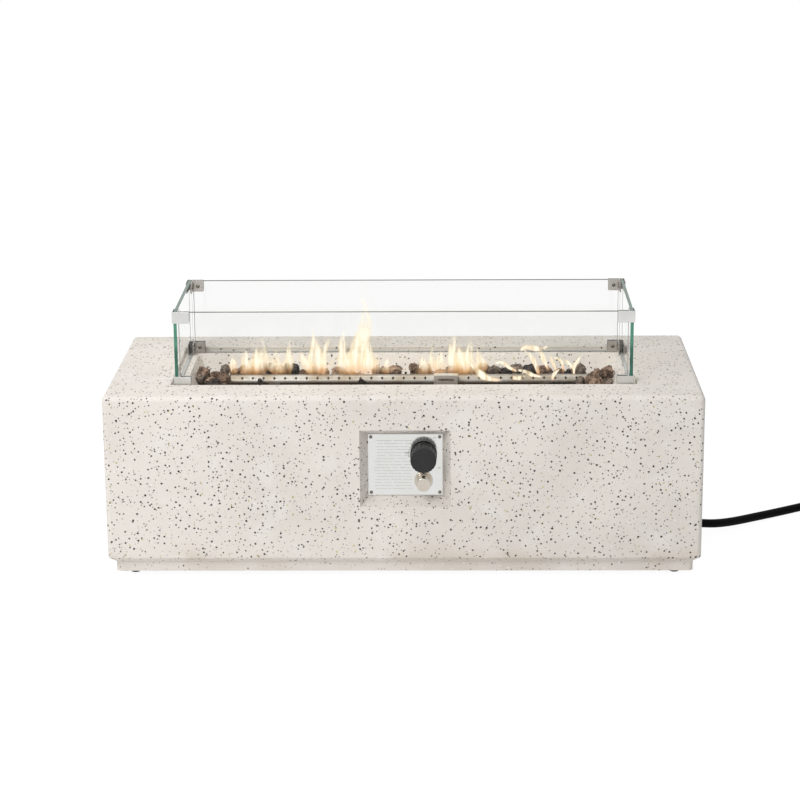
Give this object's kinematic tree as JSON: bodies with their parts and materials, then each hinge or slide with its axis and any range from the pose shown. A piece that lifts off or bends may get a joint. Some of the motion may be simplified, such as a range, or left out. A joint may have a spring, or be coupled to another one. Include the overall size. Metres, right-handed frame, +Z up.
{
  "type": "propane fire pit",
  "caption": "Rectangular terrazzo-finish propane fire pit with a glass wind guard, a burner in lava rocks, a front control panel and a gas hose with a regulator.",
  "frame": {"origin": "on the floor under the middle of the cast body", "axes": "+X along the long side to the right seen from the front, +Y to the back, +Z up"},
  "size_m": [1.5625, 0.4675, 0.4725],
  "materials": {
    "terrazzo": "honed, with dark and olive specks",
    "zinc_insert": "bare cast metal",
    "black_plastic": "moulded matte",
    "clear_glass": "clear with a green tint at the edges",
    "satin_steel": "satin stainless",
    "screw_steel": "domed stainless",
    "pad_rubber": "soft black",
    "pan_steel": "plain stainless sheet",
    "burner_steel": "bright stainless tube",
    "brass": "turned",
    "bare_aluminium": "die cast",
    "stem_steel": "plated steel",
    "white_ceramic": "unglazed",
    "copper_capillary": "drawn copper",
    "lead_rubber": "silicone sleeve",
    "lava_stone": "rough and porous",
    "polished_steel": "polished stainless",
    "chrome": "polished plating",
    "grey_plastic": "moulded",
    "hose_rubber": "matte black",
    "ferrule_steel": "crimped",
    "grey_paint": "semi-gloss"
  },
  "bodies": {
    "fire_pit": {"concrete_body": "terrazzo", "foot_inserts": "zinc_insert", "hose_tie": "black_plastic", "flame_shield": "satin_steel", "pan_screws": "screw_steel", "plate_screws": "screw_steel", "burner_pan": "pan_steel", "burner_brackets": "pan_steel", "mixer_tube": "pan_steel", "air_shutter": "pan_steel", "burner_tube": "burner_steel", "burner_end_caps": "burner_steel", "thermocouple": "burner_steel", "electrode_rod": "burner_steel", "gas_orifice": "brass", "line_nuts": "brass", "valve_nut": "brass", "valve_outlet": "brass", "hose_fitting": "brass", "regulator_nipple": "brass", "gas_line": "bare_aluminium", "valve_body": "bare_aluminium", "knob_spring": "stem_steel", "igniter_spring": "stem_steel", "igniter_nut": "stem_steel", "spark_electrode": "white_ceramic", "thermocouple_lead": "copper_capillary", "ignition_lead": "lead_rubber", "rock_bed": "lava_stone", "lava_rocks": "lava_stone", "control_plate": "polished_steel", "igniter_bezel": "chrome", "spark_unit": "grey_plastic", "inner_hose": "hose_rubber", "outer_hose": "hose_rubber", "hose_coil": "hose_rubber", "hose_tail": "hose_rubber", "hose_grommet": "hose_rubber", "hose_ferrule": "ferrule_steel", "regulator_body": "grey_paint", "regulator_cover": "grey_paint"},
    "glass_guard": {"glass_front": "clear_glass", "glass_back": "clear_glass", "glass_left": "clear_glass", "glass_right": "clear_glass", "bottom_clips": "satin_steel", "top_clips": "satin_steel", "clip_screws": "screw_steel", "clip_pads": "pad_rubber", "guard_feet": "pad_rubber"},
    "valve_plug": {"valve_plug": "bare_aluminium"},
    "knob": {"control_knob": "black_plastic", "valve_stem": "stem_steel"},
    "igniter_button": {"igniter_button": "chrome"},
    "coupling_nut": {"coupling_nut": "black_plastic"},
    "foot_front_left": {"foot_front_left": "black_plastic"},
    "foot_front_right": {"foot_front_right": "black_plastic"},
    "foot_back_left": {"foot_back_left": "black_plastic"},
    "foot_back_right": {"foot_back_right": "black_plastic"}
  },
  "joints": [
    {"name": "knob_turn", "type": "hinge", "parent": "fire_pit", "child": "valve_plug", "pos_m": [0.036, -0.2, 0.2255], "axis": [0, -1, 0], "range_deg": [-90, 140]},
    {"name": "knob_press", "type": "slide", "parent": "valve_plug", "child": "knob", "axis": [0, 1, 0], "range_m": [0, 0.004], "stiffness_N_per_m": 1200, "springref_m": -0.003, "deforming": ["knob_spring"]},
    {"name": "igniter_press", "type": "slide", "parent": "fire_pit", "child": "igniter_button", "axis": [0, 1, 0], "range_m": [0, 0.004], "stiffness_N_per_m": 1500, "springref_m": -0.003, "deforming": ["igniter_spring"]},
    {"name": "guard_lift", "type": "slide", "parent": "fire_pit", "child": "glass_guard", "axis": [0, 0, 1], "range_m": [0, 0.2]},
    {"name": "coupling_spin", "type": "hinge", "parent": "fire_pit", "child": "coupling_nut", "pos_m": [0.996, -0.06, 0.0252], "axis": [0, -1, 0], "continuous": true},
    {"name": "foot_front_left_screw", "type": "slide", "parent": "fire_pit", "child": "foot_front_left", "axis": [0, 0, -1], "range_m": [0, 0.01]},
    {"name": "foot_front_right_screw", "type": "slide", "parent": "fire_pit", "child": "foot_front_right", "axis": [0, 0, -1], "range_m": [0, 0.01]},
    {"name": "foot_back_left_screw", "type": "slide", "parent": "fire_pit", "child": "foot_back_left", "axis": [0, 0, -1], "range_m": [0, 0.01]},
    {"name": "foot_back_right_screw", "type": "slide", "parent": "fire_pit", "child": "foot_back_right", "axis": [0, 0, -1], "range_m": [0, 0.01]}
  ]
}
